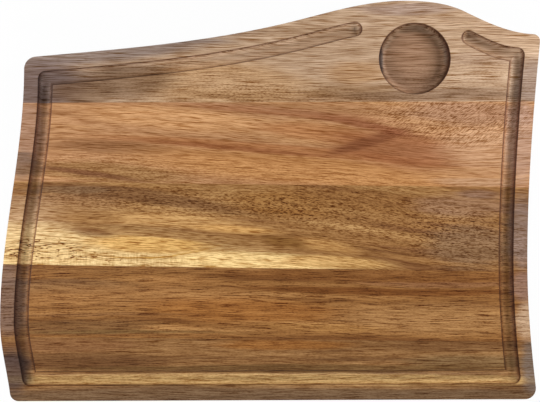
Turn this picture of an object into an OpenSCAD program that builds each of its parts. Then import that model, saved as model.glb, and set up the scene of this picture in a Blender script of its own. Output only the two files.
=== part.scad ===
// Serving board glued up from five acacia staves, with a wavy outline, eased edges,
// a juice groove that follows the rim and a round well for sauce or a small bowl.
// It lies flat on Z = 0 with its length along X. The origin is under its middle.

/* [Board] */
// Overall length along X
board_w = 404; // [340:1:480]
// Overall width along Y, from the straight edge to the crest of the hump
board_d = 299.5; // [270:0.5:340]
// Thickness
board_t = 18; // [15:0.5:30]
// Radius that eases the upper and lower edges
edge_r = 2.5; // [1:0.5:3.5]

/* [Left end] */
// How far the upper left corner lies in from the left end
left_top_in = 18.1; // [5:0.1:30]
// How far the upper left corner lies below the crest
left_top_drop = 42.5; // [30:0.1:55]
// Height of the belly, the left-most point, above the straight edge
belly_rise = 59.9; // [45:0.1:110]
// How far the lower left corner lies in from the belly
left_foot_in = 8.3; // [3:0.1:15]
// Lean of the left end at its foot, in degrees
left_foot_lean = 7.5; // [3:0.1:15]

/* [Right end] */
// How far the lower right corner lies in from the right end
right_foot_in = 2.1; // [0:0.1:10]
// How far the lower right corner lies above the lower left one
right_foot_rise = 1.5; // [0:0.1:10]
// Lean of the right end at its foot, in degrees
right_foot_lean = 6.7; // [3:0.1:15]
// How far the waist dips in from the right end
waist_in = 9.5; // [4:0.1:20]
// Height of the waist above the straight edge
waist_rise = 104.5; // [90:0.5:170]
// How far the upper right corner lies below the crest
right_top_drop = 25.2; // [18:0.1:45]
// Lean of the right end at its top, in degrees
right_top_lean = 5.6; // [2:0.1:12]

/* [Hump] */
// How far right of the middle the crest lies
crest_x = 99.9; // [60:0.1:115]
// How far right of the middle the steep right flank is steepest
flank_x = 146; // [140:0.1:155]
// How far below the crest that point lies
flank_drop = 8.2; // [6:0.1:16]
// Slope of the flank there, in degrees
flank_slope = 26.3; // [15:0.1:36]
// Slope of the top edge at the upper right corner, in degrees
right_top_slope = 2.6; // [0:0.1:12]
// How far right of the middle the long left slope is steepest
slope_x = 16.4; // [-20:0.1:40]
// How far below the crest that point lies
slope_drop = 15.6; // [8:0.1:22]
// Slope of the top edge there, in degrees
slope_angle = 13.9; // [8:0.1:18]
// Slope of the top edge at the upper left corner, in degrees
left_top_slope = 5.1; // [2:0.1:10]

/* [Corners] */
// Radius of the upper left corner
left_top_r = 9.3; // [4:0.1:15]
// Radius of the lower left corner
left_foot_r = 6.5; // [4:0.1:15]
// Radius of the lower right corner
right_foot_r = 8.2; // [4:0.1:15]
// Radius of the upper right corner
right_top_r = 5.1; // [4:0.1:15]

/* [Juice groove] */
// Width of the flat rim outside the groove, along the front and along the long rear slope
rim_w = 11.5; // [8:0.1:16]
// Width of that rim along both ends and right of the well
end_rim_w = 10.6; // [8:0.1:16]
// Width of the groove at the face
groove_w = 10.7; // [7:0.1:13]
// Depth of the groove
groove_depth = 4.5; // [2:0.1:5]
// Where the groove stops to the left of the well, right of the middle
groove_stop_left = 63.6; // [50:0.1:66]
// Where the groove stops to the right of the well, right of the middle
groove_stop_right = 148.6; // [147:0.1:158]

/* [Sauce well] */
// Centre of the well, right of the middle
well_x = 108.2; // [106:0.1:111]
// Centre of the well, below the crest
well_drop = 43.2; // [39:0.1:46]
// Radius of the well at the face
well_r = 26.6; // [20:0.1:28]
// Depth of the well
well_depth = 8; // [4:0.1:12]
// Radius of the cove between its wall and its floor
well_cove_r = 6.2; // [1:0.1:8]

/* [Staves] */
// Joint 1, between the rear stave and the next, at the left end, above the middle
joint_1_left = 73.4; // [65:0.1:79]
// Joint 1 at the right end
joint_1_right = 74.5; // [65:0.1:79]
// Joint 2 at the left end, above the middle
joint_2_left = 14.7; // [0:0.1:30]
// Joint 2 at the right end
joint_2_right = 10; // [0:0.1:30]
// Joint 3 at the left end, above the middle
joint_3_left = -47.3; // [-65:0.1:-30]
// Joint 3 at the right end
joint_3_right = -53.1; // [-65:0.1:-30]
// Joint 4 at the left end, above the middle
joint_4_left = -101.5; // [-115:0.1:-85]
// Joint 4 at the right end
joint_4_right = -105.4; // [-115:0.1:-85]

/* [Hidden] */

// Longest step along the outline and along the groove
outline_step = 7;
// Steps round a corner, over an eased edge and across the groove's round bottom
corner_steps = 5;
edge_steps = 4;
groove_steps = 8;
// Steps round each half of a groove's end, and round its outer lip at a corner
turn_steps = 8;
// How far the cuts and slabs run past the surfaces that they leave open
past = 2;

left_x = -board_w / 2;
right_x = board_w / 2;
crest_y = board_d / 2;
foot_y = -board_d / 2;

// Directions and points in the plan. A heading turns anticlockwise from +X, and the outline
// is walked anticlockwise, so the wood lies to the left of the way.
function way(heading) = [cos(heading), sin(heading)];
function inward(heading) = [-sin(heading), cos(heading)];
function plan(p) = [p.x, p.y];

// Corners of the outline before rounding: place, heading on arrival, heading on leaving, radius
foot_heading = atan2(right_foot_rise, board_w - left_foot_in - right_foot_in);
right_top_arrival = 90 - right_top_lean;
right_top_leaving = 180 - right_top_slope;
// How far the rounding pulls the upper right corner in from its vertex
right_top_pull = right_top_r * (sin(right_top_arrival) - 1
    + tan((right_top_leaving - right_top_arrival) / 2) * cos(right_top_arrival));
left_top = [left_x + left_top_in, crest_y - left_top_drop, 180 + left_top_slope, 270, left_top_r];
left_foot = [left_x + left_foot_in, foot_y, 270 + left_foot_lean, 360 + foot_heading, left_foot_r];
right_foot = [right_x - right_foot_in, foot_y + right_foot_rise,
    foot_heading, 90 + right_foot_lean, right_foot_r];
right_top = [right_x + right_top_pull, crest_y - right_top_drop,
    right_top_arrival, right_top_leaving, right_top_r];

// Knots that the edges pass through between the corners: place and heading
left_knots = [[left_x, foot_y + belly_rise, 270]];
right_knots = [[right_x - waist_in, foot_y + waist_rise, 90]];
hump_knots = [
    [flank_x, crest_y - flank_drop, 180 - flank_slope],
    [crest_x, crest_y, 180],
    [slope_x, crest_y - slope_drop, 180 + slope_angle]
];

function turn(corner) = corner[3] - corner[2];
function set_back(corner) = corner[4] * tan(turn(corner) / 2);

// Knots where an edge arrives at a rounded corner and leaves it
function arrival_knot(corner) =
    concat(plan(corner) - set_back(corner) * way(corner[2]), [corner[2]]);
function leaving_knot(corner) =
    concat(plan(corner) + set_back(corner) * way(corner[3]), [corner[3]]);

// Point of a cubic curve and its heading. The handles are a third of the chord, which is
// nearly an arc where the turn is small.
function curve_point(a, b, t) =
    let (
        reach = norm(plan(b) - plan(a)) / 3,
        p1 = plan(a) + reach * way(a[2]),
        p2 = plan(b) - reach * way(b[2]),
        s = 1 - t,
        speed = s * s * (p1 - plan(a)) + 2 * s * t * (p2 - p1) + t * t * (plan(b) - p2)
    )
    concat(s * s * s * plan(a) + 3 * s * s * t * p1 + 3 * s * t * t * p2 + t * t * t * plan(b),
        [atan2(speed.y, speed.x)]);

// Curve through a list of knots, without its last point
function curve(knots) = [
    for (i = [0 : len(knots) - 2])
        let (steps = max(2, ceil(norm(plan(knots[i + 1]) - plan(knots[i])) / outline_step)))
            for (j = [0 : steps - 1]) curve_point(knots[i], knots[i + 1], j / steps)
];

// Points round a corner's arc, without the last one
function corner_arc(corner) =
    let (centre = plan(arrival_knot(corner)) + corner[4] * inward(corner[2]))
    [for (j = [0 : corner_steps - 1])
        let (heading = corner[2] + turn(corner) * j / corner_steps)
            concat(centre - corner[4] * inward(heading), [heading])];

function edge(from, knots, to) = curve(concat([leaving_knot(from)], knots, [arrival_knot(to)]));

outline = concat(
    corner_arc(left_top), edge(left_top, left_knots, left_foot),
    corner_arc(left_foot), edge(left_foot, [], right_foot),
    corner_arc(right_foot), edge(right_foot, right_knots, right_top),
    corner_arc(right_top), edge(right_top, hump_knots, left_top)
);

// Levels of the eased board from its underside to its face: height and distance in from the outline
edge_levels = concat(
    [for (i = [0 : edge_steps])
        let (a = 90 * i / edge_steps) [edge_r * (1 - cos(a)), edge_r * (1 - sin(a))]],
    [for (i = [0 : edge_steps])
        let (a = 90 * i / edge_steps) [board_t - edge_r * (1 - sin(a)), edge_r * (1 - cos(a))]]
);

// The whole board before it is cut, skinned over its levels, with each flat side a fan
module blank() {
    count = len(outline);
    levels = len(edge_levels);
    points = concat(
        [for (level = edge_levels)
            for (p = outline) concat(plan(p) + level[1] * inward(p[2]), [level[0]])],
        [[0, 0, 0], [0, 0, board_t]]
    );
    under_centre = count * levels;
    face_centre = under_centre + 1;
    top_ring = count * (levels - 1);
    walls = [
        for (k = [0 : levels - 2])
            for (i = [0 : count - 1])
                let (a = k * count + i, b = k * count + (i + 1) % count)
                    each [[a, a + count, b], [b, a + count, b + count]]
    ];
    under = [for (i = [0 : count - 1]) [under_centre, i, (i + 1) % count]];
    face = [for (i = [0 : count - 1]) [face_centre, top_ring + (i + 1) % count, top_ring + i]];
    polyhedron(points, concat(walls, under, face));
}

// How far the groove's centre line lies in from the outline
side_inset = rim_w + groove_w / 2;
end_inset = end_rim_w + groove_w / 2;

function moved_in(knots, inset) =
    [for (knot = knots) concat(plan(knot) + inset * inward(knot[2]), [knot[2]])];

// Vector from a corner to the same corner of a line that lies one unit further in
function mitre(corner) =
    let (a = inward(corner[2]), b = inward(corner[3]))
    (a + b) / (1 + a * b);

// Corners that the groove turns, with its distance in from the edge before and after each
groove_corners = [
    [left_top, side_inset, end_inset],
    [left_foot, end_inset, side_inset],
    [right_foot, side_inset, end_inset],
    [right_top, end_inset, end_inset]
];

// Where the groove's centre line turns a corner
function turning_point(bend) =
    let (
        a = inward(bend[0][2]),
        b = inward(bend[0][3]),
        shared = a * b,
        along_a = bend[1] - shared * bend[2],
        along_b = bend[2] - shared * bend[1]
    )
    plan(bend[0]) + (along_a * a + along_b * b) / (1 - shared * shared);

// The same place as a knot with the heading on arrival, and with the heading on leaving
function path_end(bend) = concat(turning_point(bend), [bend[0][2]]);
function path_start(bend) = concat(turning_point(bend), [bend[0][3]]);

// Point of a curve at a given X, found by halving
function at_x(a, b, x, low = 0, high = 1, left = 24) =
    left == 0 ? curve_point(a, b, low)
    : let (t = (low + high) / 2, falls = a.x > b.x)
        (curve_point(a, b, t).x > x) == falls ? at_x(a, b, x, t, high, left - 1)
        : at_x(a, b, x, low, t, left - 1);

slope_path = moved_in([hump_knots[1], hump_knots[2]], side_inset);
left_stop = at_x(slope_path[0], slope_path[1], groove_stop_left);
flank_path = [path_start(groove_corners[3]), moved_in(hump_knots, end_inset)[0]];
right_stop = at_x(flank_path[0], flank_path[1], groove_stop_right);

// Stretches of the groove between its corners, from the stop left of the well round to the other
groove_stretches = [
    [left_stop, slope_path[1], path_end(groove_corners[0])],
    concat([path_start(groove_corners[0])], moved_in(left_knots, end_inset),
        [path_end(groove_corners[1])]),
    [path_start(groove_corners[1]), path_end(groove_corners[2])],
    concat([path_start(groove_corners[2])], moved_in(right_knots, end_inset),
        [path_end(groove_corners[3])]),
    [flank_path[0], right_stop]
];

// A station of the groove: centre, vector to the outer lip and vector to the inner lip
function station(p) = [plan(p), -inward(p[2]), inward(p[2])];

function plain_stations(knots) =
    let (points = curve(knots)) [for (i = [1 : len(points) - 1]) station(points[i])];

// At a corner the inner lip stays at its mitre while the outer lip turns round the centre
function corner_stations(bend) =
    [for (j = [0 : turn_steps])
        [turning_point(bend), -inward(bend[0][2] + turn(bend[0]) * j / turn_steps), mitre(bend[0])]];

// At a stop the outer lip turns half round until it meets the inner one
function stop_stations(p, side) =
    let (first = side > 0 ? -180 : 0)
    [for (j = [0 : 2 * turn_steps])
        let (a = p[2] + first + 180 * j / (2 * turn_steps))
            [plan(p), -inward(a), inward(p[2])]];

groove_stations = concat(
    stop_stations(left_stop, 1),
    [for (i = [0 : len(groove_corners) - 1])
        each concat(plain_stations(groove_stretches[i]), corner_stations(groove_corners[i]))],
    plain_stations(groove_stretches[len(groove_corners)]),
    stop_stations(right_stop, -1)
);

// Section of the groove: share of the half width that a point lies out, and its height
nose_r = (groove_w * groove_w / 4 + groove_depth * groove_depth) / (2 * groove_depth);
nose_angle = acos(1 - groove_depth / nose_r);
groove_section = concat(
    [[1, board_t + past]],
    [for (i = [0 : groove_steps])
        let (a = nose_angle * (1 - 2 * i / groove_steps))
            [2 * nose_r * sin(a) / groove_w, board_t - groove_depth + nose_r * (1 - cos(a))]],
    [[-1, board_t + past]]
);

// Place of a section's point at a station, outside the centre line or inside it
function groove_point(s, q) =
    concat(s[0] + groove_w / 2 * abs(q[0]) * (q[0] > 0 ? s[1] : s[2]), [q[1]]);

// False for a face that a fixed lip has closed up to a line
function has_area(face, points) =
    let (a = points[face[0]], b = points[face[1]], c = points[face[2]])
    min(norm(a - b), norm(b - c), norm(c - a)) > 0.01;

module groove() {
    rows = len(groove_stations);
    sides = len(groove_section);
    points = [for (s = groove_stations) for (q = groove_section) groove_point(s, q)];
    skin = [
        for (i = [0 : rows - 2])
            for (j = [0 : sides - 1])
                let (a = i * sides + j, b = i * sides + (j + 1) % sides)
                    each [[a, a + sides, b], [b, a + sides, b + sides]]
    ];
    polyhedron(points, [for (face = skin) if (has_area(face, points)) face]);
}

// Sauce well, with a straight upper wall, a cove and a flat floor
well_cove = min(well_cove_r, well_depth - 0.5, well_r - 1);
well_y = crest_y - well_drop;

module well() {
    floor_r = well_r - well_cove;
    translate([well_x, well_y, board_t - well_depth])
        rotate_extrude($fn = 96)
            union() {
                square([floor_r, well_depth + past]);
                translate([0, well_cove])
                    square([well_r, well_depth - well_cove + past]);
                intersection() {
                    translate([floor_r, well_cove])
                        circle(r = well_cove, $fn = 48);
                    translate([floor_r, 0])
                        square([well_cove, well_cove]);
                }
            }
}

// Lower and upper joint of each stave, from the rear one to the front one, at either end
joints = [
    [crest_y + past, crest_y + past],
    [joint_1_left, joint_1_right],
    [joint_2_left, joint_2_right],
    [joint_3_left, joint_3_right],
    [joint_4_left, joint_4_right],
    [foot_y - past, foot_y - past]
];

// The stretch of the board between two joints
module stave_blank(place) {
    above = joints[place];
    below = joints[place + 1];
    reach = board_w / 2 + past;
    rise_below = (below[1] - below[0]) / board_w;
    rise_above = (above[1] - above[0]) / board_w;
    intersection() {
        blank();
        translate([0, 0, -past])
            linear_extrude(height = board_t + 2 * past)
                polygon([
                    [-reach, below[0] - past * rise_below],
                    [reach, below[1] + past * rise_below],
                    [reach, above[1] + past * rise_above],
                    [-reach, above[0] - past * rise_above]
                ]);
    }
}

module stave(place) {
    difference() {
        stave_blank(place);
        groove();
    }
}

module rear_stave() {
    color([0.68, 0.52, 0.38])
        difference() {
            stave(0);
            well();
        }
}

module upper_stave() {
    color([0.71, 0.49, 0.31])
        stave(1);
}

module middle_stave() {
    color([0.74, 0.56, 0.33])
        stave(2);
}

module lower_stave() {
    color([0.58, 0.38, 0.23])
        stave(3);
}

module front_stave() {
    color([0.62, 0.41, 0.26])
        stave(4);
}

rear_stave();
upper_stave();
middle_stave();
lower_stave();
front_stave();
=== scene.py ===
import math

import bpy
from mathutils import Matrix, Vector


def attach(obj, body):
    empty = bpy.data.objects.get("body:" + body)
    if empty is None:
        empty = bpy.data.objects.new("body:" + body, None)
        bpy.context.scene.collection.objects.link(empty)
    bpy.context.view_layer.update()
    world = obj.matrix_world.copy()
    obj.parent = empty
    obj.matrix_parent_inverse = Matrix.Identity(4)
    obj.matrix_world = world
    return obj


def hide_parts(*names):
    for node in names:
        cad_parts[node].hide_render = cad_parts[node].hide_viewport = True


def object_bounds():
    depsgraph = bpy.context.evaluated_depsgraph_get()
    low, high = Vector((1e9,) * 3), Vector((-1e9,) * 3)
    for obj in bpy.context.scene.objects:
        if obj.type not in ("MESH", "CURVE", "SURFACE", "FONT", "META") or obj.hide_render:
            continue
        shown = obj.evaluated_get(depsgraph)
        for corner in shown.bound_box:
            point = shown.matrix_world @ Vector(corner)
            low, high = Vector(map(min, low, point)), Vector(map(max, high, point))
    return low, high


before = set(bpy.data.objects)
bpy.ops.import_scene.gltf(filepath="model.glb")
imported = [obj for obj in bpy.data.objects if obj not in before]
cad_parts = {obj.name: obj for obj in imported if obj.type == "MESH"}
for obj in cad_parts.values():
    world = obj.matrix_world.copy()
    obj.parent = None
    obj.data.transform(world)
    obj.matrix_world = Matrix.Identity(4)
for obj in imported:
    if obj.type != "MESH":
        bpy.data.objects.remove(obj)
cad_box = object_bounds()

# Lengths are in metres and headings in degrees; the woods' figure and grain are in mm.
# X runs along the board and Z up.
MM = 0.001
low, high = cad_box
BOARD_T = high.z - low.z
LEFT_X = low.x
RIGHT_X = high.x
CREST_Y = high.y
FOOT_Y = low.y
FACE_Z = high.z

# Outline and cuts, the same sizes as in the part's source
EDGE_R = 2.5 * MM
RIM_W = 11.5 * MM
END_RIM_W = 10.6 * MM
GROOVE_W = 10.7 * MM
GROOVE_DEPTH = 4.5 * MM
GROOVE_STOPS = (63.6 * MM, 148.6 * MM)
WELL_CENTRE = (108.2 * MM, CREST_Y - 43.2 * MM)
WELL_R = 26.6 * MM
WELL_DEPTH = 8 * MM
WELL_COVE_R = 6.2 * MM
# Rounding of the lips that the cutter leaves, broken with fine paper
LIP_R = 0.5 * MM

# Heights of the glue joints above the middle, at the left end and at the right end
JOINTS = [
    (73.4 * MM, 74.5 * MM),
    (14.7 * MM, 10 * MM),
    (-47.3 * MM, -53.1 * MM),
    (-101.5 * MM, -105.4 * MM),
]
STAVES = ["rear_stave", "upper_stave", "middle_stave", "lower_stave", "front_stave"]


def way(heading):
    a = math.radians(heading)
    return Vector((math.cos(a), math.sin(a), 0))


def inward(heading):
    return way(heading + 90)


class Corner:
    """A corner of the outline before it is rounded, walked anticlockwise."""

    def __init__(self, x, y, arrival, leaving, radius):
        self.place = Vector((x, y, 0))
        self.arrival = arrival
        self.leaving = leaving
        self.radius = radius

    def turn(self):
        return self.leaving - self.arrival

    def knots(self):
        """Where the rounding starts and ends."""
        back = self.radius * math.tan(math.radians(self.turn() / 2))
        return [
            (self.place - back * way(self.arrival), self.arrival),
            (self.place + back * way(self.leaving), self.leaving),
        ]

    def inset(self, before, after):
        """The same corner of a line that lies further in, before the corner and after it."""
        a, b = inward(self.arrival), inward(self.leaving)
        shared = a.dot(b)
        offset = (before - shared * after) * a + (after - shared * before) * b
        return self.place + offset / (1 - shared**2)


# The front edge rises a little from the left to the right
FOOT_RISE = 1.5 * MM
FOOT_RUN = 393.6 * MM
FOOT_HEADING = math.degrees(math.atan2(FOOT_RISE, FOOT_RUN))
left_top = Corner(LEFT_X + 18.1 * MM, CREST_Y - 42.5 * MM, 185.1, 270, 9.3 * MM)
left_foot = Corner(LEFT_X + 8.3 * MM, FOOT_Y, 277.5, 360 + FOOT_HEADING, 6.5 * MM)
right_foot = Corner(RIGHT_X - 2.1 * MM, FOOT_Y + FOOT_RISE, FOOT_HEADING, 96.7, 8.2 * MM)
right_top = Corner(RIGHT_X + 0.5 * MM, CREST_Y - 25.2 * MM, 84.4, 177.4, 5.1 * MM)

# Knots between the corners: place and heading
left_knots = [(Vector((LEFT_X, FOOT_Y + 59.9 * MM, 0)), 270)]
right_knots = [(Vector((RIGHT_X - 9.5 * MM, FOOT_Y + 104.5 * MM, 0)), 90)]
hump_knots = [
    (Vector((146 * MM, CREST_Y - 8.2 * MM, 0)), 153.7),
    (Vector((99.9 * MM, CREST_Y, 0)), 180),
    (Vector((16.4 * MM, CREST_Y - 15.6 * MM, 0)), 193.9),
]


# How finely curves and eased edges are stepped
OUTLINE_STEPS = 16
PATH_STEPS = 20
PLUG_STEPS = 64
WELL_STEPS = 128
EDGE_SEGMENTS = 7
# Halvings that find where a curve crosses a given X
HALVINGS = 30
# Turn in radians below which a stretch counts as straight
STRAIGHT = 0.01
# How near two points of a mesh are when they are merged
OUTLINE_MERGE = 0.01 * MM
CUTTER_MERGE = 0.005 * MM
PATH_MERGE = 0.002 * MM
CUT_MERGE = 0.01 * MM
# How near a point is to a glue joint's plane when it counts as on it
SPLIT_LIMIT = 0.001 * MM
# Degrees past which an edge looks sharp, and how much large faces steer the shading
SHARP_ANGLE = 32
FLAT_WEIGHT = 90


def deselect():
    bpy.ops.object.select_all(action="DESELECT")


def pick(obj):
    deselect()
    obj.select_set(True)
    bpy.context.view_layer.objects.active = obj


def handle(a, b):
    """Length of the handles that make the stretch between two knots nearly an arc."""
    chord = (b[0] - a[0]).length
    turn = math.radians(b[1] - a[1])
    if abs(turn) < STRAIGHT:
        return chord / 3
    return chord * 2 / 3 * math.tan(turn / 4) / math.sin(turn / 2)


def knot_curve(name, knots, closed, steps):
    """A smooth curve through knots, each a place and a heading."""
    deselect()
    bpy.ops.curve.primitive_bezier_curve_add()
    obj = bpy.context.object
    obj.name = name
    obj.data.resolution_u = steps
    spline = obj.data.splines[0]
    spline.bezier_points.add(len(knots) - len(spline.bezier_points))
    spline.use_cyclic_u = closed
    for point, (place, heading) in zip(spline.bezier_points, knots):
        point.handle_left_type = point.handle_right_type = "FREE"
        point.co = point.handle_left = point.handle_right = place
    last = len(knots) if closed else len(knots) - 1
    for i in range(last):
        a, b = knots[i], knots[(i + 1) % len(knots)]
        turned = (b[0], b[1] + 360 if b[1] < a[1] - 180 else b[1])
        reach = handle(a, turned)
        spline.bezier_points[i].handle_right = a[0] + reach * way(a[1])
        spline.bezier_points[(i + 1) % len(knots)].handle_left = b[0] - reach * way(b[1])
    return obj


def as_mesh(obj):
    pick(obj)
    bpy.ops.object.convert(target="MESH")
    return bpy.context.object


def apply(obj, kind, **settings):
    pick(obj)
    bpy.ops.object.modifier_add(type=kind)
    modifier = obj.modifiers[-1]
    for key, value in settings.items():
        setattr(modifier, key, value)
    bpy.ops.object.modifier_apply(modifier=modifier.name)


def make_blank():
    """The board before it is cut: its outline extruded, with both rims eased."""
    knots = []
    for corner, edge in (
        (left_top, left_knots), (left_foot, []), (right_foot, right_knots), (right_top, hump_knots)
    ):
        knots += corner.knots() + edge
    board = as_mesh(knot_curve("board_blank", knots, True, OUTLINE_STEPS))
    bpy.ops.object.mode_set(mode="EDIT")
    bpy.ops.mesh.select_all(action="SELECT")
    bpy.ops.mesh.remove_doubles(threshold=OUTLINE_MERGE)
    bpy.ops.mesh.edge_face_add()
    bpy.ops.mesh.extrude_region_move(TRANSFORM_OT_translate={"value": (0, 0, BOARD_T)})
    bpy.ops.mesh.select_all(action="SELECT")
    bpy.ops.mesh.normals_make_consistent(inside=False)
    bpy.ops.mesh.select_all(action="DESELECT")
    bpy.ops.object.mode_set(mode="OBJECT")
    for edge in board.data.edges:
        a, b = (board.data.vertices[i].co.z for i in edge.vertices)
        edge.select = abs(a - b) < BOARD_T / 2
    bpy.ops.object.mode_set(mode="EDIT")
    bpy.ops.mesh.select_mode(type="EDGE")
    bpy.ops.mesh.bevel(offset=EDGE_R, segments=EDGE_SEGMENTS, affect="EDGES", clamp_overlap=True)
    bpy.ops.object.mode_set(mode="OBJECT")
    return board


# Radius of the ball nose that cuts the groove's width at its depth
NOSE_R = (GROOVE_W**2 / 4 + GROOVE_DEPTH**2) / (2 * GROOVE_DEPTH)
# Height that the cutters stand above the face
CLEAR = 2 * MM
# What a plug is smaller than the groove, and how far the groove runs into it, so that no
# walls of the two coincide
PLUG_EASE = 0.04 * MM
PLUG_LAP = 0.3 * MM
# What every second stretch of the groove is deeper, so that no two bottoms cross at one height
STRETCH_STEP = 0.02 * MM
# Attribute of the faces that the cutters leave
CUT = "cut"


def flare(centre_x, start_angle):
    """Points of a cutter that round a lip of the face, from the wall up and out."""
    steps = 5
    end_angle = math.radians(14)
    points = []
    for i in range(steps + 1):
        a = start_angle + (end_angle - start_angle) * i / steps
        points.append((centre_x - LIP_R * math.sin(a), LIP_R * (math.cos(a) - 1)))
    x, z = points[-1]
    out = LIP_R / 2
    points.append((x + out * math.cos(end_angle), z + out * math.sin(end_angle)))
    points.append((points[-1][0], CLEAR))
    return points


def groove_profile():
    """Half of the groove's section: distance from its middle, and height over the face."""
    rise = NOSE_R - GROOVE_DEPTH + LIP_R
    centre_x = math.sqrt((NOSE_R + LIP_R) ** 2 - rise**2)
    lip_angle = math.atan2(centre_x, rise)
    steps = 14
    nose = [
        (NOSE_R * math.sin(lip_angle * i / steps),
         NOSE_R * (1 - math.cos(lip_angle * i / steps)) - GROOVE_DEPTH)
        for i in range(steps)
    ]
    return nose + flare(centre_x, lip_angle)


def well_profile():
    """Half of the well's section: its floor, cove, wall and lip."""
    floor_r = WELL_R - WELL_COVE_R
    steps = 12
    cove = [
        (floor_r + WELL_COVE_R * math.sin(math.pi / 2 * i / steps),
         WELL_COVE_R * (1 - math.cos(math.pi / 2 * i / steps)) - WELL_DEPTH)
        for i in range(steps + 1)
    ]
    return [(0, -WELL_DEPTH)] + cove + flare(WELL_R + LIP_R, math.pi / 2)


def poly_curve(name, points, closed):
    """A curve of straight steps through points given in its own plane."""
    deselect()
    bpy.ops.curve.primitive_nurbs_path_add()
    obj = bpy.context.object
    obj.name = name
    spline = obj.data.splines[0]
    spline.type = "POLY"
    spline.points.add(len(points) - len(spline.points))
    spline.use_cyclic_u = closed
    for point, (x, y) in zip(spline.points, points):
        point.co = (x, y, 0, 1)
    return obj


def turned_cutter(name, profile, x, y, steps):
    """A solid turned from a half section about a vertical axis."""
    cutter = as_mesh(poly_curve(name, profile + [(0, CLEAR)], False))
    for vertex in cutter.data.vertices:
        vertex.co = (vertex.co.x, 0, vertex.co.y)
    bpy.ops.object.mode_set(mode="EDIT")
    bpy.ops.mesh.select_all(action="SELECT")
    bpy.ops.mesh.spin(steps=steps, angle=math.tau, center=(0, 0, 0), axis=(0, 0, 1))
    bpy.ops.mesh.select_all(action="SELECT")
    bpy.ops.mesh.remove_doubles(threshold=CUTTER_MERGE)
    bpy.ops.mesh.normals_make_consistent(inside=False)
    bpy.ops.object.mode_set(mode="OBJECT")
    for vertex in cutter.data.vertices:
        vertex.co += Vector((x, y, FACE_Z))
    return cutter


def moved_in(knots, distance):
    return [(place + distance * inward(heading), heading) for place, heading in knots]


def curve_part(a, b, x):
    """The place and heading where the stretch between two knots crosses a given X."""
    reach = handle(a, b)
    p = [a[0], a[0] + reach * way(a[1]), b[0] - reach * way(b[1]), b[0]]
    t_low, t_high = 0.0, 1.0
    for _ in range(HALVINGS):
        t = (t_low + t_high) / 2
        s = 1 - t
        here = s**3 * p[0] + 3 * s * s * t * p[1] + 3 * s * t * t * p[2] + t**3 * p[3]
        if here.x > x:
            t_low = t
        else:
            t_high = t
    speed = s * s * (p[1] - p[0]) + 2 * s * t * (p[2] - p[1]) + t * t * (p[3] - p[2])
    return here, math.degrees(math.atan2(speed.y, speed.x)) % 360


def groove_paths():
    """Stretches of the groove's centre line between its corners and stops."""
    side = RIM_W + GROOVE_W / 2
    end = END_RIM_W + GROOVE_W / 2
    slope = moved_in(hump_knots[1:], side)
    bends = [
        (left_top, left_top.inset(side, end)),
        (left_foot, left_foot.inset(end, side)),
        (right_foot, right_foot.inset(side, end)),
        (right_top, right_top.inset(end, end)),
    ]
    arrivals = [(place, corner.arrival) for corner, place in bends]
    starts = [(place, corner.leaving) for corner, place in bends]
    flank = (starts[3], moved_in(hump_knots, end)[0])
    front_heading = left_foot.leaving - 360
    return [
        [curve_part(slope[0], slope[1], GROOVE_STOPS[0]), slope[1], arrivals[0]],
        [starts[0]] + moved_in(left_knots, end) + [arrivals[1]],
        [(starts[1][0], front_heading), arrivals[2]],
        [starts[2]] + moved_in(right_knots, end) + [arrivals[3]],
        [flank[0], curve_part(flank[0], flank[1], GROOVE_STOPS[1])],
    ]


def make_groove_cutter():
    """The swept path of a ball-nosed cutter, with turned plugs at corners and stops."""
    half = groove_profile()
    section = [(-x, z) for x, z in reversed(half)] + half[1:]
    profile = poly_curve("groove_section", section, True)
    profile.data.dimensions = "2D"
    parts = []
    ends = []
    for number, knots in enumerate(groove_paths()):
        ends += [knots[0][0], knots[-1][0]]
        start, end = knots[0], knots[-1]
        knots[0] = (start[0] - PLUG_LAP * way(start[1]), start[1])
        knots[-1] = (end[0] + PLUG_LAP * way(end[1]), end[1])
        path = knot_curve(f"groove_path_{number}", knots, False, PATH_STEPS)
        path.data.dimensions = "3D"
        path.data.twist_mode = "Z_UP"
        path.data.bevel_mode = "OBJECT"
        path.data.bevel_object = profile
        path.data.use_fill_caps = True
        part = as_mesh(path)
        bpy.ops.object.mode_set(mode="EDIT")
        bpy.ops.mesh.select_all(action="SELECT")
        bpy.ops.mesh.remove_doubles(threshold=PATH_MERGE)
        bpy.ops.mesh.normals_make_consistent(inside=False)
        bpy.ops.object.mode_set(mode="OBJECT")
        for vertex in part.data.vertices:
            vertex.co.z += FACE_Z - number % 2 * STRETCH_STEP
        parts.append(part)
    bpy.data.objects.remove(profile)
    plug_half = [(max(x - PLUG_EASE, 0), max(z, PLUG_EASE - GROOVE_DEPTH)) for x, z in half]
    plugs = []
    for end in ends:
        if all((end - other).length > MM for other in plugs):
            plugs.append(end)
            name = f"groove_plug_{len(plugs)}"
            parts.append(turned_cutter(name, plug_half, end.x, end.y, PLUG_STEPS))
    return parts


def mark_faces(obj, value):
    marks = obj.data.attributes.new(CUT, "FLOAT", "FACE")
    marks.data.foreach_set("value", [value] * len(obj.data.polygons))


def cut(board, cutters):
    for cutter in cutters:
        mark_faces(cutter, 1.0)
        apply(board, "BOOLEAN", operation="DIFFERENCE", solver="EXACT", object=cutter)
        bpy.data.objects.remove(cutter)
    pick(board)
    bpy.ops.object.mode_set(mode="EDIT")
    bpy.ops.mesh.select_all(action="SELECT")
    bpy.ops.mesh.remove_doubles(threshold=CUT_MERGE)
    bpy.ops.mesh.dissolve_degenerate(threshold=CUT_MERGE)
    bpy.ops.object.mode_set(mode="OBJECT")


def joint_plane(joint):
    """A point of a glue joint and its normal, which points towards the rear."""
    left, right = joint
    along = Vector((RIGHT_X - LEFT_X, right - left, 0)).normalized()
    return Vector((LEFT_X, left, 0)), Vector((-along.y, along.x, 0))


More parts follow.
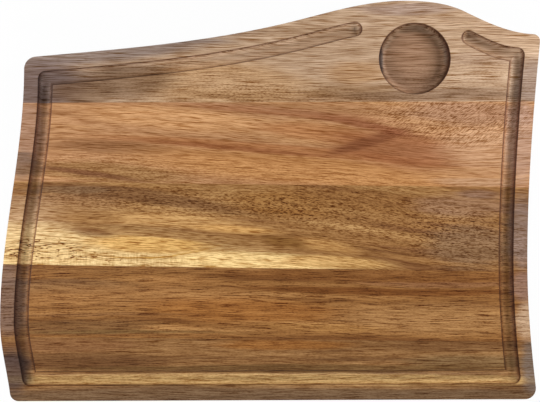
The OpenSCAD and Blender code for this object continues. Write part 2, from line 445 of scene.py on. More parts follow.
def make_stave(board, name, place):
    """One stave: the stretch of the cut board between two glue joints."""
    pick(board)
    bpy.ops.object.duplicate()
    stave = bpy.context.object
    stave.name = name + "_wood"
    sides = []
    if place > 0:
        sides.append((JOINTS[place - 1], {"clear_outer": True}))
    if place < len(JOINTS):
        sides.append((JOINTS[place], {"clear_inner": True}))
    for joint, cleared in sides:
        point, normal = joint_plane(joint)
        bpy.ops.object.mode_set(mode="EDIT")
        bpy.ops.mesh.select_all(action="SELECT")
        bpy.ops.mesh.bisect(
            plane_co=point, plane_no=normal, use_fill=True, threshold=SPLIT_LIMIT, **cleared
        )
        bpy.ops.object.mode_set(mode="OBJECT")
    pick(stave)
    bpy.ops.object.shade_smooth_by_angle(angle=math.radians(SHARP_ANGLE))
    apply(stave, "WEIGHTED_NORMAL", mode="FACE_AREA", weight=FLAT_WEIGHT, keep_sharp=True)
    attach(stave, "root")
    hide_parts(name)
    return stave


def make_board():
    board = make_blank()
    mark_faces(board, 0.0)
    cut(board, make_groove_cutter())
    cut(board, [turned_cutter("well_cutter", well_profile(), *WELL_CENTRE, WELL_STEPS)])
    staves = [make_stave(board, name, place) for place, name in enumerate(STAVES)]
    bpy.data.objects.remove(board)
    return staves


def srgb(r, g, b):
    """A colour as it looks on a screen, from 0 to 255, turned into what the shader takes."""
    linear = [
        (c / 255 / 12.92) if c <= 10.3 else ((c / 255 + 0.055) / 1.055) ** 2.4
        for c in (r, g, b)
    ]
    return (*linear, 1)


# The settings down to the bump are shared by all five woods
# What the oil does to their colours
OIL = (0.98, 0.96, 0.88, 1)
# What a full dark line makes of the colour that it lies on
STAIN = (0.41, 0.24, 0.08, 1)
# How much lighter the wood is between its lines, in shares of red, green and blue
PALE = (-0.85, -1.25, -1.85)
# How far that goes at the most
PALEST = -0.85
# What the broad shadows in the grain make of it, less tinted than the lines
SHADE = (0.41, 0.35, 0.29, 1)
# How much lighter the bands between them may get
LEAST_SHADOW = -0.06
# What end grain makes of it, and painted shade on eased edges, sides, underside, steep cut walls and
# lips
END_TONE = (0.42, 0.32, 0.27, 1)
EDGE_SHADE_TONE = (0.5, 0.42, 0.37, 1)
LIP_SHADE_TONE = (0.38, 0.28, 0.24, 1)
WALL_SHADE_TONE = (0.44, 0.31, 0.25, 1)
# How dark the painted lip shade is where the lip runs along the grain, against one across it
LIP_LEAST = 0.6
# How far the streaks fray the edge of a patch, in shares of its half width
FRAY = 0.9
# Gain of the curve that holds the drift, so that it uses the curve's height
DRIFT_GAIN = 8
# Size in mm of the short waves in the grain, from side to side
QUICK_WAVE = 2.0
# How much less the figure changes with depth than across, as the growth rings stand steep
RING_STAND = 0.12
# Darkness of the plain wood and of the darkest line, and how fast it falls from there
PLAIN_WOOD = -0.06
LINE_DARKEST = 0.36
LINE_FALL = 1.2
# What is given back in the palest stretches between the lines
BETWEEN_LINES = 0.3
# What hairs, dashes, pores and cracks add to the darkness
HAIR_DEPTH = 0.42
DASH_DEPTH = 0.25
PORE_DEPTH = 0.3
CRACK_DEPTH = 2.0
# Half the width of a crack, as a share of its noise
CRACK_WIDTH = 0.03
# Degrees that the slanted marks turn from the grain
SLANT_ANGLE = 32
# Roughness of the oiled wood, what bands, pores and cut faces add to it, and its gloss
SATIN = 0.36
BAND_ROUGHNESS = 0.16
PORE_ROUGHNESS = 0.16
CUT_ROUGHNESS = 0.1
GLOSS = 0.22
# Relief of the grain: what lines and ticks raise and pores sink, and how high it all stands
LINE_RELIEF = 0.5
PORE_RELIEF = 0.7
TICK_RELIEF = 0.25
BUMP_STRENGTH = 0.35
BUMP_HEIGHT = 0.06 * MM


class Patch:
    """A stretch of figure on the face, or of painted shade below it: its middle, half its length and
    half its width in mm.

    The slope tilts it against the board's length, the bow bends it, and it fades out over
    the soft share of its width. The share says how much of its colour or strength it brings.
    """

    def __init__(self, x, y, reach, breadth, share, colour=None, slope=0.0, bow=0.0, soft=0.4):
        self.sizes = {
            "X": x, "Y": y, "Reach": reach, "Breadth": breadth,
            "Slope": slope, "Bow": bow, "Softness": soft,
        }
        self.share = share
        self.colour = colour


class Stave:
    """How one stave grew: its ground colours, its grain and the patches of its figure.

    The drift gives places along the board and how far the grain has moved across it there, in
    mm. Lean is the grain's slope with depth, and wave how far its long waves swing to a side.
    Lines and length are the strength and the length of its fine lines, and shadows is the
    strength of its broad bands. Sunk patches paint shade onto what lies below the face only, in
    the well and the grooves. Flecks, slants, curls and cracks say where such marks are strong.
    """

    def __init__(
        self, ground, seed, drift, lean, wave, lines, length, patches, shadows=0.9,
        painted_recess_shade=(), flecks=(), slants=(), curls=(), cracks=(),
    ):
        self.ground = ground
        self.seed = seed
        self.drift = drift
        self.lean = lean
        self.wave = wave
        self.lines = lines
        self.length = length
        self.patches = patches
        self.painted_recess_shade = painted_recess_shade
        self.flecks = flecks
        self.slants = slants
        self.curls = curls
        self.cracks = cracks
        self.shadows = shadows


# Patches centred more than 180 mm out lie on the end rims; their greyer colours are partly the
# wood's and partly painted light, the grey cast of glare and sheen there
WOODS = {
    "rear_stave": Stave(
        ground=[(158, 123, 94), (165, 130, 101), (171, 136, 107)],
        seed=3.1,
        drift=[(-205, 0), (-60, 0), (60, -1.5), (205, -1)],
        lean=0.2,
        wave=2.4,
        lines=3.5,
        length=18,
        patches=[
            Patch(-40, 87, 66, 17, 0.85, (170, 127, 87)),
            Patch(-30, 89, 40, 7, 0.6, (168, 127, 91)),
            Patch(-105, 90, 34, 14, 0.7, (96, 66, 44)),
            Patch(-118, 113, 88, 9, 0.9, (125, 103, 91), slope=0.12),
            Patch(-172, 86, 36, 19, 0.95, (98, 76, 68)),
            Patch(-138, 82, 26, 9, 0.7, (102, 71, 47)),
            Patch(10, 78.5, 90, 4.5, 0.6, (141, 98, 60), slope=-0.005),
            Patch(62, 84, 36, 5, 0.6, (120, 79, 39)),
            Patch(120, 81, 70, 4.5, 0.7, (114, 82, 59)),
            Patch(101, 145, 34, 4.2, 0.8, (153, 123, 106)),
            Patch(64, 98, 24, 8, 0.6, (156, 110, 68)),
            Patch(196, 88, 12, 20, 0.6, (118, 96, 86)),
            Patch(160, 108, 30, 5, 0.5, (145, 112, 89)),
        ],
        # Painted shade below the face: darker walls and floor in the well, a dark line at its left
        # wall, and a darker stretch in the groove at the upper right
        painted_recess_shade=[
            Patch(108.2, 106.6, 30, 30, 0.85, (104, 74, 52), soft=0.1),
            Patch(107.9, 106.4, 23.8, 23.8, 0.88, (142, 103, 76), soft=0.07),
            Patch(82.6, 106.4, 2.6, 18, 0.85, (58, 40, 31), soft=0.3),
            Patch(163, 118, 26, 9, 0.6, (130, 96, 70), slope=-0.45, soft=0.3),
        ],
        flecks=[
            Patch(-70, 88, 75, 18, 0.55),
            Patch(20, 80, 80, 8, 0.7),
            Patch(150, 90, 60, 20, 0.45),
        ],
        shadows=0.6,
    ),
    "upper_stave": Stave(
        ground=[(155, 106, 69), (168, 119, 80), (175, 125, 82)],
        seed=7.7,
        drift=[(-205, 12), (-112, 9), (0, 0), (60, -5), (127, -11.2), (165, -12), (205, -10)],
        lean=0.2,
        wave=1.6,
        lines=2.05,
        length=11,
        patches=[
            Patch(-70, 55, 66, 8, 0.6, (204, 149, 100)),
            Patch(-181, 42, 12, 24, 0.7, (146, 110, 90)),
            Patch(-186, 15, 12, 11, 0.75, (101, 78, 66)),
            Patch(-118, 31, 50, 4.4, 0.75, (126, 82, 49)),
            Patch(-120, 12, 56, 8, 0.7, (133, 93, 51)),
            Patch(-135, 10.5, 40, 1.8, 0.7, (106, 61, 38), slope=-0.09, soft=0.6),
            Patch(22, 25, 118, 11, 0.8, (176, 120, 70)),
            Patch(20, 38.6, 140, 3.6, 0.7, (154, 96, 55)),
            Patch(-25, 36.8, 78, 1.7, 0.8, (138, 82, 48), soft=0.6),
            Patch(-20, 68.5, 66, 1.7, 0.9, (186, 144, 106), soft=0.6),
            Patch(8, 67.3, 82, 2.8, 0.85, (153, 99, 65)),
            Patch(34, 54, 40, 6.5, 0.6, (169, 109, 64)),
            Patch(98, 47.5, 50, 13, 0.85, (143, 86, 52)),
            Patch(130, 48.6, 34, 6.5, 0.6, (152, 99, 66), soft=0.6),
            Patch(100, 51, 24, 6, 0.6, (147, 93, 59)),
            Patch(75, 51.4, 29, 4.2, 0.85, (121, 70, 42), slope=0.42, soft=0.5),
            Patch(74, 62.5, 34, 3, 0.75, (132, 75, 47), slope=-0.1, soft=0.6),
            Patch(164, 52, 36, 16, 0.8, (179, 133, 98)),
            Patch(148, 78, 46, 9, 0.75, (150, 107, 79)),
            Patch(158, 26, 34, 3.4, 0.65, (175, 133, 101)),
            Patch(188, 57, 10, 34, 0.6, (163, 127, 109)),
        ],
        flecks=[
            Patch(-130, 14, 60, 12, 0.45),
            Patch(150, 78, 50, 14, 0.5),
            Patch(20, 14, 150, 14, 0.4),
        ],
        slants=[
            Patch(136, 72, 60, 18, 1.1),
        ],
    ),
    "middle_stave": Stave(
        ground=[(113, 71, 38), (135, 91, 50), (155, 111, 66)],
        seed=12.4,
        drift=[(-205, 0), (-120, 0), (-40, -4), (40, -9), (120, -20), (205, -26)],
        lean=0.2,
        wave=1.6,
        lines=2.6,
        length=7,
        patches=[
            Patch(-150, -2, 40, 8, 0.6, (142, 101, 65)),
            Patch(-95, 4.5, 80, 5.5, 0.85, (107, 69, 39), slope=-0.1),
            Patch(-150, 8, 30, 3, 0.6, (114, 83, 56)),
            Patch(-70, -13, 48, 5.5, 0.8, (184, 136, 83)),
            Patch(-188, -15, 26, 14, 0.6, (180, 142, 107), soft=0.8),
            Patch(-160, -38, 135, 16, 0.98, (203, 165, 112), soft=0.45),
            Patch(-180, -24.5, 34, 8, 0.75, (204, 167, 118), soft=0.6),
            Patch(-16, -41, 60, 8, 0.8, (232, 191, 128)),
            Patch(46, -36, 42, 4.6, 0.75, (201, 153, 93), slope=0.08),
            Patch(-90, -31, 46, 6.6, 0.85, (194, 144, 79), soft=0.3),
            Patch(-80, -23.4, 80, 2.7, 0.85, (150, 107, 63), slope=-0.035),
            Patch(-26, -17.1, 28, 2.8, 0.75, (197, 144, 83), soft=0.6),
            Patch(40, -24, 24, 4.4, 0.75, (180, 130, 75), slope=-0.02, soft=0.6),
            Patch(11, -24.3, 15, 4, 0.95, (121, 79, 37), slope=-0.05, soft=0.5),
            Patch(-133, -23.5, 16, 3.2, 0.7, (93, 45, 10), slope=-0.1, soft=0.6),
            Patch(-88, -40.8, 40, 0.6, 0.9, (169, 116, 40), slope=0.0986, bow=0.0029, soft=0.7),
            Patch(8, 5, 40, 10, 0.6, (122, 75, 29)),
            Patch(70, 13, 56, 9, 0.65, (128, 84, 43), slope=0.09),
            Patch(150, -11, 32, 15, 0.8, (117, 84, 57), slope=0.06),
            Patch(145, 18.6, 34, 9, 0.65, (137, 99, 72), slope=0.06),
            Patch(156, 28, 16, 3.2, 0.6, (114, 82, 67), slope=0.02),
            Patch(189, 1, 10, 27, 0.8, (118, 94, 82)),
        ],
        flecks=[
            Patch(-60, 2, 110, 11, 1.35),
            Patch(70, 4, 90, 22, 1.3),
            Patch(150, -9, 45, 22, 1.2),
        ],
        curls=[
            Patch(-130, -43, 78, 7, 1.0),
        ],
        cracks=[
            Patch(-172, -37, 40, 7.5, 1.2),
            Patch(-128, -43, 30, 2.4, 0.7),
        ],
    ),
    "lower_stave": Stave(
        ground=[(98, 57, 25), (124, 79, 39), (144, 97, 53)],
        seed=18.9,
        drift=[(-205, 0), (-60, 1), (80, -3), (205, -4)],
        lean=0.2,
        wave=2.0,
        lines=5.2,
        length=15,
        patches=[
            Patch(-150, -64, 50, 5, 0.6, (113, 77, 46)),
            Patch(-105, -52.5, 90, 3, 0.6, (113, 71, 35)),
            Patch(-72, -60, 30, 4, 0.6, (144, 95, 51)),
            Patch(90, -53, 125, 4.6, 0.85, (110, 65, 29)),
            Patch(95, -65, 110, 2.6, 0.85, (100, 55, 21)),
            Patch(130, -59, 60, 2.2, 0.6, (121, 78, 49)),
            Patch(-100, -72, 90, 8, 0.6, (143, 95, 52)),
            Patch(-22, -82, 70, 9, 0.6, (140, 84, 36)),
            Patch(122, -85, 66, 11, 0.8, (144, 99, 57)),
            Patch(40, -93, 44, 3, 0.6, (147, 99, 51)),
            Patch(-142, -95, 54, 5, 0.85, (102, 66, 35)),
            Patch(-110, -99, 70, 1.4, 0.8, (104, 72, 38), soft=0.6),
            Patch(-130, -86.5, 60, 1.3, 0.7, (112, 71, 38), soft=0.6),
            Patch(-196, -74, 12, 28, 0.8, (101, 75, 61)),
            Patch(190, -60, 9, 11, 0.7, (128, 95, 79)),
            Patch(193, -86, 9, 13, 0.75, (168, 133, 103)),
        ],
        flecks=[
            Patch(0, -76, 400, 60, 0.95),
        ],
    ),
    "front_stave": Stave(
        ground=[(99, 63, 33), (121, 81, 45), (139, 97, 57)],
        seed=24.2,
        drift=[(-205, 0), (205, 0)],
        lean=0.1,
        wave=1.4,
        lines=3.0,
        length=13,
        patches=[
            Patch(-150, -108, 50, 5.5, 0.65, (121, 78, 45)),
            Patch(-142, -120, 64, 6, 0.75, (86, 52, 26)),
            Patch(8, -108, 48, 3.6, 0.75, (135, 82, 35)),
            Patch(140, -108.5, 52, 4.4, 0.75, (100, 63, 33)),
            Patch(150, -120, 46, 5.5, 0.65, (108, 80, 49)),
            Patch(30, -125.5, 165, 3.2, 0.85, (99, 68, 36)),
            Patch(0, -133.5, 230, 4.4, 0.9, (184, 142, 88), soft=0.3),
            Patch(0, -146, 260, 7, 0.85, (96, 70, 48)),
            Patch(197, -122, 9, 20, 0.75, (102, 87, 78)),
            Patch(-193, -128, 13, 16, 0.85, (65, 48, 43)),
        ],
        flecks=[
            Patch(0, -125, 400, 60, 0.5),
        ],
    ),
}


class Sheet:
    """Adds nodes to a material or to a node group, and joins them."""

    def __init__(self, tree):
        self.tree = tree

    def node(self, kind, **settings):
        node = self.tree.nodes.new("ShaderNode" + kind)
        for key, value in settings.items():
            setattr(node, key, value)
        return node

    def feed(self, socket, value):
        """Joins a socket to what feeds it, or sets it to a plain value."""
        if isinstance(value, bpy.types.NodeSocket):
            self.tree.links.new(value, socket)
        else:
            socket.default_value = value

    def fed(self, node, *values):
        """Feeds a node's sockets in their order and gives its first output."""
        for socket, value in zip(node.inputs, values):
            self.feed(socket, value)
        return node.outputs[0]

    def maths(self, operation, *values):
        return self.fed(self.node("Math", operation=operation), *values)

    def vector(self, operation, *values):
        return self.fed(self.node("VectorMath", operation=operation), *values)

    def split(self, vector):
        """The three parts of a vector."""
        node = self.node("SeparateXYZ")
        self.feed(node.inputs[0], vector)
        return node.outputs

    def noise(self, place, length, width, detail, seed):
        """Noise with features of a length along the grain and a width across it, in mm."""
        scale = (1 / length, 1 / width, 1 / width)
        node = self.node("TexNoise")
        self.feed(node.inputs["Vector"], self.vector("MULTIPLY_ADD", place, scale, (seed,) * 3))
        node.inputs["Scale"].default_value = 1
        node.inputs["Detail"].default_value = detail
        return node.outputs[0]

    def step(self, value, start, end, low=0.0, high=1.0):
        """A smooth step from low to high, while the value goes from start to end."""
        node = self.node("MapRange", interpolation_type="SMOOTHSTEP")
        for name, number in (
            ("Value", value), ("From Min", start), ("From Max", end),
            ("To Min", low), ("To Max", high),
        ):
            self.feed(node.inputs[name], number)
        return node.outputs[0]

    def mix(self, share, a, b, blend_type="MIX"):
        node = self.node("Mix", data_type="RGBA", blend_type=blend_type)
        for name, value in (("Factor_Float", share), ("A_Color", a), ("B_Color", b)):
            self.feed(next(s for s in node.inputs if s.identifier == name), value)
        return next(s for s in node.outputs if s.identifier == "Result_Color")

    def tint(self, colour, full, power):
        """The colour with a tint laid over it, once for a power of 1 and less or more for others."""
        node = self.node("Gamma")
        node.inputs["Color"].default_value = full
        self.feed(node.inputs["Gamma"], power)
        return self.mix(1.0, colour, node.outputs[0], "MULTIPLY")


def make_patch_group():
    """The node group that says how much of a patch there is at a place in the wood."""
    tree = bpy.data.node_groups.new("figure_patch", "ShaderNodeTree")
    for name, kind in (("Wood", "Vector"), ("Streaks", "Float")):
        tree.interface.new_socket(name, in_out="INPUT", socket_type="NodeSocket" + kind)
    for name in ("X", "Y", "Reach", "Breadth", "Slope", "Bow", "Softness"):
        tree.interface.new_socket(name, in_out="INPUT", socket_type="NodeSocketFloat")
    tree.interface.new_socket("Share", in_out="OUTPUT", socket_type="NodeSocketFloat")
    sheet = Sheet(tree)
    given = tree.nodes.new("NodeGroupInput").outputs
    place = sheet.split(given["Wood"])
    along = sheet.maths("SUBTRACT", place[0], given["X"])
    across = sheet.maths("SUBTRACT", place[1], given["Y"])
    lift = sheet.maths("MULTIPLY_ADD", along, given["Bow"], given["Slope"])
    across = sheet.maths("SUBTRACT", across, sheet.maths("MULTIPLY", along, lift))
    along = sheet.maths("POWER", sheet.maths("DIVIDE", along, given["Reach"]), 2)
    across = sheet.maths("POWER", sheet.maths("DIVIDE", across, given["Breadth"]), 2)
    reach = sheet.maths("SQRT", sheet.maths("ADD", along, across))
    frayed = sheet.maths("MULTIPLY_ADD", given["Streaks"], FRAY, reach)
    rim = 1.0 + FRAY / 2
    inner = sheet.maths("SUBTRACT", rim, given["Softness"])
    outer = sheet.maths("ADD", rim, given["Softness"])
    out = tree.nodes.new("NodeGroupOutput")
    sheet.feed(out.inputs[0], sheet.step(frayed, inner, outer, 1.0, 0.0))
    return tree


class Figure:
    """Says how much of a stave's patches there is at each place of its wood."""

    def __init__(self, sheet, group, space, fray):
        self.sheet = sheet
        self.group = group
        self.space = space
        self.fray = fray

    def share(self, patch):
        """How much of one patch there is."""
        node = self.sheet.node("Group", node_tree=self.group)
        self.sheet.feed(node.inputs["Wood"], self.space)
        self.sheet.feed(node.inputs["Streaks"], self.fray)
        for name, value in patch.sizes.items():
            node.inputs[name].default_value = value
        return self.sheet.maths("MULTIPLY", node.outputs[0], patch.share)

    def zone(self, patches):
        """Where a kind of mark is strong: the sum of its patches."""
        total = 0.0
        for patch in patches:
            total = self.sheet.maths("ADD", total, self.share(patch))
        return total


def drift_of(sheet, stave, x):
    """How far the grain has moved across the board at a place along it, in mm."""
    curve_node = sheet.node("FloatCurve")
    curve = curve_node.mapping.curves[0]
    reach = RIGHT_X - LEFT_X
    last = len(stave.drift) - 1
    for number, (at, height) in enumerate(stave.drift):
        spot = ((at * MM - LEFT_X) / reach, 0.5 + height * MM / reach * DRIFT_GAIN)
        if number in (0, last):
            curve.points[0 if number == 0 else -1].location = spot
        else:
            curve.points.new(*spot)
    curve_node.mapping.update()
    share = sheet.maths("MULTIPLY_ADD", x, MM / reach, -LEFT_X / reach)
    sheet.feed(curve_node.inputs["Value"], share)
    gain = reach / MM / DRIFT_GAIN
    return sheet.maths("MULTIPLY_ADD", curve_node.outputs[0], gain, -0.5 * gain)


def grain_space(sheet, stave):
    """The place in the wood, in mm: along the grain, across it, and RING_STAND times its depth."""
    place = sheet.node("Mapping")
    sheet.feed(place.inputs["Vector"], sheet.node("TexCoord").outputs["Object"])
    place.inputs["Scale"].default_value = (1 / MM, 1 / MM, -1 / MM)
    place.inputs["Location"].default_value = (0, 0, FACE_Z / MM)
    x, y, depth = sheet.split(place.outputs[0])
    across = sheet.maths("SUBTRACT", y, drift_of(sheet, stave, x))
    across = sheet.maths("MULTIPLY_ADD", depth, stave.lean, across)
    slow = sheet.noise(place.outputs[0], length=120, width=36, detail=1, seed=stave.seed)
    quick = sheet.noise(place.outputs[0], length=26, width=8, detail=2, seed=stave.seed + 1)
    for wave, size in ((slow, 2 * stave.wave), (quick, QUICK_WAVE)):
        across = sheet.maths("MULTIPLY_ADD", sheet.maths("SUBTRACT", wave, 0.5), size, across)
    return sheet.fed(sheet.node("CombineXYZ"), x, across, sheet.maths("MULTIPLY", depth, RING_STAND))


def broad_colour(sheet, stave, figure, streaks, bands, depth):
    """The ground colours with the figure on them, painted shade below the face, and the broad
    shadows in the grain.
    """
    low, middle, high = (srgb(*colour) for colour in stave.ground)
    colour = sheet.mix(sheet.step(streaks, start=0.34, end=0.5), low, middle)
    colour = sheet.mix(sheet.step(streaks, start=0.5, end=0.68), colour, high)
    for patch in stave.patches:
        colour = sheet.mix(figure.share(patch), colour, srgb(*patch.colour))
    if stave.painted_recess_shade:
        # Painted shade in the well and grooves starts 0.1 mm below the face and is full from 0.9 mm
        below = sheet.step(depth, start=0.1 * RING_STAND, end=0.9 * RING_STAND)
        for patch in stave.painted_recess_shade:
            share = sheet.maths("MULTIPLY", figure.share(patch), below)
            colour = sheet.mix(share, colour, srgb(*patch.colour))
    shadow = sheet.maths("MULTIPLY_ADD", bands, -stave.shadows, stave.shadows / 2)
    return sheet.tint(colour, SHADE, sheet.maths("MAXIMUM", shadow, LEAST_SHADOW))


def marked(sheet, dark, marks, middle, share):
    """The darkness with marks laid on it, which darken above their middle and lighten below."""
    return sheet.maths("MULTIPLY_ADD", sheet.maths("SUBTRACT", marks, middle), share, dark)


def slanted(sheet, space):
    """The place in the wood, turned to the run of the slanted marks."""
    turned = sheet.node("Mapping")
    sheet.feed(turned.inputs["Vector"], space)
    turned.inputs["Rotation"].default_value = (0, 0, -math.radians(SLANT_ANGLE))
    return turned.outputs[0]


def darkness(sheet, stave, figure, lines, ticks, pores):
    """How dark the fine marks make the wood: above 0 they darken it, below 0 they lighten it."""
    space = figure.space
    seed = stave.seed
    hairs = sheet.noise(space, length=stave.length * 1.4, width=0.36, detail=2, seed=seed + 10)
    hairs = sheet.step(hairs, start=0.44, end=0.68)
    between = sheet.step(lines, start=0.5, end=0.7)
    fine = sheet.maths("MULTIPLY_ADD", lines, -LINE_FALL, LINE_DARKEST)
    fine = sheet.maths("MULTIPLY_ADD", between, BETWEEN_LINES, fine)
    fine = sheet.maths("MULTIPLY_ADD", hairs, HAIR_DEPTH, fine)
    dark = sheet.maths("MULTIPLY_ADD", fine, stave.lines, PLAIN_WOOD)
    if stave.flecks:
        flecks = sheet.noise(space, length=2.3, width=0.46, detail=1, seed=seed + 6)
        flecks = sheet.step(flecks, start=0.38, end=0.7)
        dark = marked(sheet, dark, flecks, 0.42, figure.zone(stave.flecks))
    if stave.slants:
        turned = slanted(sheet, space)
        slants = sheet.noise(turned, length=3.2, width=0.48, detail=1, seed=seed + 7)
        slants = sheet.step(slants, start=0.4, end=0.68)
        dark = marked(sheet, dark, slants, 0.4, figure.zone(stave.slants))
    if stave.curls:
        curls = sheet.noise(space, length=1.3, width=5.0, detail=1, seed=seed + 8)
        curls = sheet.maths("MULTIPLY", curls, -1.0)
        dark = marked(sheet, dark, curls, -0.5, figure.zone(stave.curls))
    if stave.cracks:
        ridge = sheet.noise(space, length=18, width=2.3, detail=2, seed=seed + 11)
        ridge = sheet.maths("ABSOLUTE", sheet.maths("SUBTRACT", ridge, 0.5))
        crack = sheet.step(ridge, start=0.0, end=CRACK_WIDTH, low=CRACK_DEPTH, high=0.0)
        dark = sheet.maths("MULTIPLY_ADD", crack, figure.zone(stave.cracks), dark)
    dashes = sheet.step(ticks, start=0.60, end=0.72)
    dark = sheet.maths("MULTIPLY_ADD", dashes, DASH_DEPTH, dark)
    return sheet.maths("MULTIPLY_ADD", pores, PORE_DEPTH, dark)


def grained(sheet, colour, dark):
    """The colour with its fine marks: stained where it is dark, paler where it is light."""
    colour = sheet.tint(colour, STAIN, sheet.maths("MAXIMUM", dark, 0.0))
    light = sheet.maths("MAXIMUM", sheet.maths("MINIMUM", dark, 0.0), PALEST)
    return sheet.vector("MULTIPLY_ADD", colour, sheet.vector("MULTIPLY", light, PALE), colour)


def worked_and_shaded(sheet, colour, cut_face, depth):
    """The colour under its oil: end grain darker, and painted shade on eased edges, sides,
    underside, steep cut walls and lips, where it also stands for a cutter's burn.
    """
    across, _, upwards = sheet.split(sheet.node("NewGeometry").outputs["Normal"])
    sideways = sheet.maths("ABSOLUTE", across)
    end = sheet.step(sideways, start=0.35, end=0.9)
    # Painted shade: the steep walls of the cuts are darkened as shade falls in them
    steep = sheet.step(upwards, start=0.12, end=0.8, low=1.0, high=0.0)
    painted_wall_shade = sheet.maths("MULTIPLY", steep, cut_face)
    # Painted shade: eased edges, sides and underside darken as they turn away from the face
    rounded = sheet.step(upwards, start=0.3, end=0.9, low=1.0, high=0.0)
    rounded = sheet.maths("MULTIPLY", rounded, sheet.maths("SUBTRACT", 1.0, cut_face))
    # The dark line at the lips, partly a cutter's burn and partly painted shade, fades out between
    # 0.2 and 1.5 mm below the face
    lip = sheet.step(depth, start=0.2 * RING_STAND, end=1.5 * RING_STAND, low=1.0, high=0.0)
    facing = sheet.maths("MULTIPLY", cut_face, sheet.maths("MAXIMUM", sideways, LIP_LEAST))
    lip = sheet.maths("MULTIPLY", lip, facing)
    for share, tone in (
        (end, END_TONE), (rounded, EDGE_SHADE_TONE), (lip, LIP_SHADE_TONE), (painted_wall_shade, WALL_SHADE_TONE), (1.0, OIL)
    ):
        colour = sheet.mix(share, colour, tone, "MULTIPLY")
    return colour


def wood(name, stave, group):
    """Oiled acacia: its ground, its figure, its grain, how it looks where it is cut, and painted
    shade on its edges, in its cuts and below its face.
    """
    material = bpy.data.materials.new(name)
    material.use_nodes = True
    sheet = Sheet(material.node_tree)
    shader = material.node_tree.nodes["Principled BSDF"]
    space = grain_space(sheet, stave)
    depth = sheet.split(space)[2]
    cut_face = sheet.node("Attribute", attribute_name=CUT).outputs["Fac"]

    streaks = sheet.noise(space, length=130, width=5.5, detail=3, seed=stave.seed + 2)
    bands = sheet.noise(space, length=70, width=2.2, detail=3, seed=stave.seed + 3)
    lines = sheet.noise(space, length=stave.length, width=0.54, detail=3, seed=stave.seed + 4)
    ticks = sheet.noise(space, length=7, width=1.1, detail=2, seed=stave.seed + 5)
    pores = sheet.noise(space, length=5, width=0.34, detail=1, seed=stave.seed + 9)
    pores = sheet.step(pores, start=0.62, end=0.74)
    fray = sheet.maths("MULTIPLY_ADD", streaks, 0.5, sheet.maths("MULTIPLY", bands, 0.5))
    figure = Figure(sheet, group, space, fray)

    colour = broad_colour(sheet, stave, figure, streaks, bands, depth)
    colour = grained(sheet, colour, darkness(sheet, stave, figure, lines, ticks, pores))
    sheet.feed(shader.inputs["Base Color"], worked_and_shaded(sheet, colour, cut_face, depth))

    rough = sheet.maths("MULTIPLY_ADD", bands, BAND_ROUGHNESS, SATIN)
    rough = sheet.maths("MULTIPLY_ADD", pores, PORE_ROUGHNESS, rough)
    rough = sheet.maths("MULTIPLY_ADD", cut_face, CUT_ROUGHNESS, rough)
    sheet.feed(shader.inputs["Roughness"], rough)
    shader.inputs["Specular IOR Level"].default_value = GLOSS

    height = sheet.maths("MULTIPLY", pores, -PORE_RELIEF)
    height = sheet.maths("MULTIPLY_ADD", lines, LINE_RELIEF, height)
    height = sheet.maths("MULTIPLY_ADD", ticks, TICK_RELIEF, height)
    bump = sheet.node("Bump")
    bump.inputs["Strength"].default_value = BUMP_STRENGTH
    bump.inputs["Distance"].default_value = BUMP_HEIGHT
    sheet.feed(bump.inputs["Height"], height)
    sheet.feed(shader.inputs["Normal"], bump.outputs[0])
    return material


FLOOR_SIZE = 8
FLOOR_COLOUR = (0.85, 0.85, 0.85, 1)
# How much of the floor's look is plain white, while the rest takes the board's soft shadow
WHITE_SHARE = 0.96


def make_floor():
    """A pale floor, white to the camera and to what mirrors it or lets it through."""
    deselect()
    bpy.ops.mesh.primitive_plane_add(size=FLOOR_SIZE)
    floor = bpy.context.object
    floor.name = "floor"
    material = bpy.data.materials.new("pale_floor")
    material.use_nodes = True
    nodes, links = material.node_tree.nodes, material.node_tree.links
    nodes.clear()
    out = nodes.new("ShaderNodeOutputMaterial")
    matt = nodes.new("ShaderNodeBsdfDiffuse")
    matt.inputs["Color"].default_value = FLOOR_COLOUR
    white = nodes.new("ShaderNodeEmission")
    white.inputs["Color"].default_value = (1, 1, 1, 1)
    seen = nodes.new("ShaderNodeMixShader")
    rays = nodes.new("ShaderNodeLightPath")
    seen_as = rays.outputs["Is Camera Ray"]
    for kind in ("Is Glossy Ray", "Is Transmission Ray"):
        either = nodes.new("ShaderNodeMath")
        either.operation = "MAXIMUM"
        links.new(seen_as, either.inputs[0])
        links.new(rays.outputs[kind], either.inputs[1])
        seen_as = either.outputs[0]
    share = nodes.new("ShaderNodeMath")
    share.operation = "MULTIPLY"
    share.inputs[1].default_value = WHITE_SHARE
    links.new(seen_as, share.inputs[0])
    links.new(share.outputs[0], seen.inputs[0])
    links.new(matt.outputs[0], seen.inputs[1])
    links.new(white.outputs[0], seen.inputs[2])
    links.new(seen.outputs[0], out.inputs["Surface"])
    floor.data.materials.append(material)


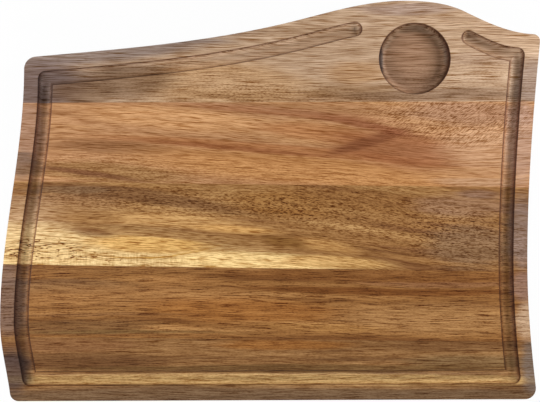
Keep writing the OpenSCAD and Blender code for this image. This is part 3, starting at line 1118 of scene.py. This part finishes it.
# Name, place, the point that it is aimed at, size and watts of each lamp
LAMPS = [
    ("left_softbox", (-0.6, 0.03, 0.26), (-0.15, 0, 0), (0.2, 0.4), 3.4),
    ("right_softbox", (0.58, 0.2, 0.27), (0.12, 0.03, 0), (0.2, 0.3), 3.8),
    ("rear_softbox", (-0.1, 0.5, 0.3), (0, 0.1, 0), (0.6, 0.15), 0.5),
    ("front_softbox", (0, -0.5, 0.3), (0, -0.1, 0), (0.6, 0.15), 2.0),
]
ROOM_LIGHT = 0.06


def light_scene():
    world = bpy.data.worlds.new("soft_studio")
    bpy.context.scene.world = world
    world.use_nodes = True
    back = world.node_tree.nodes["Background"]
    back.inputs["Color"].default_value = (1, 1, 1, 1)
    back.inputs["Strength"].default_value = ROOM_LIGHT
    for name, place, target, size, watts in LAMPS:
        bpy.ops.object.light_add(type="AREA", location=place)
        lamp = bpy.context.object
        lamp.name = name
        lamp.data.shape = "RECTANGLE"
        lamp.data.size, lamp.data.size_y = size
        lamp.data.energy = watts
        aim = Vector(target) - Vector(place)
        lamp.rotation_euler = aim.to_track_quat("-Z", "Y").to_euler()


CAMERA_HEIGHT = 0.8
SENSOR_MM = 36
# Width that the camera takes in, at the height where the board is widest
VIEW_WIDTH = 0.405


def aim_camera():
    """The camera hangs over the middle of the board and takes in its whole outline."""
    bpy.ops.object.camera_add(location=(0, 0, CAMERA_HEIGHT), rotation=(0, 0, 0))
    camera = bpy.context.object
    bpy.context.scene.camera = camera
    camera.data.sensor_width = SENSOR_MM
    widest_z = FACE_Z - EDGE_R
    camera.data.lens = SENSOR_MM * (CAMERA_HEIGHT - widest_z) / VIEW_WIDTH
    camera.data.clip_start = 0.05
    camera.data.clip_end = 20


staves = make_board()
patch_group = make_patch_group()
for stave, name in zip(staves, STAVES):
    stave.data.materials.clear()
    stave.data.materials.append(wood(name.replace("_stave", "_acacia"), WOODS[name], patch_group))
make_floor()
light_scene()
aim_camera()
bpy.context.scene.view_settings.view_transform = "Standard"
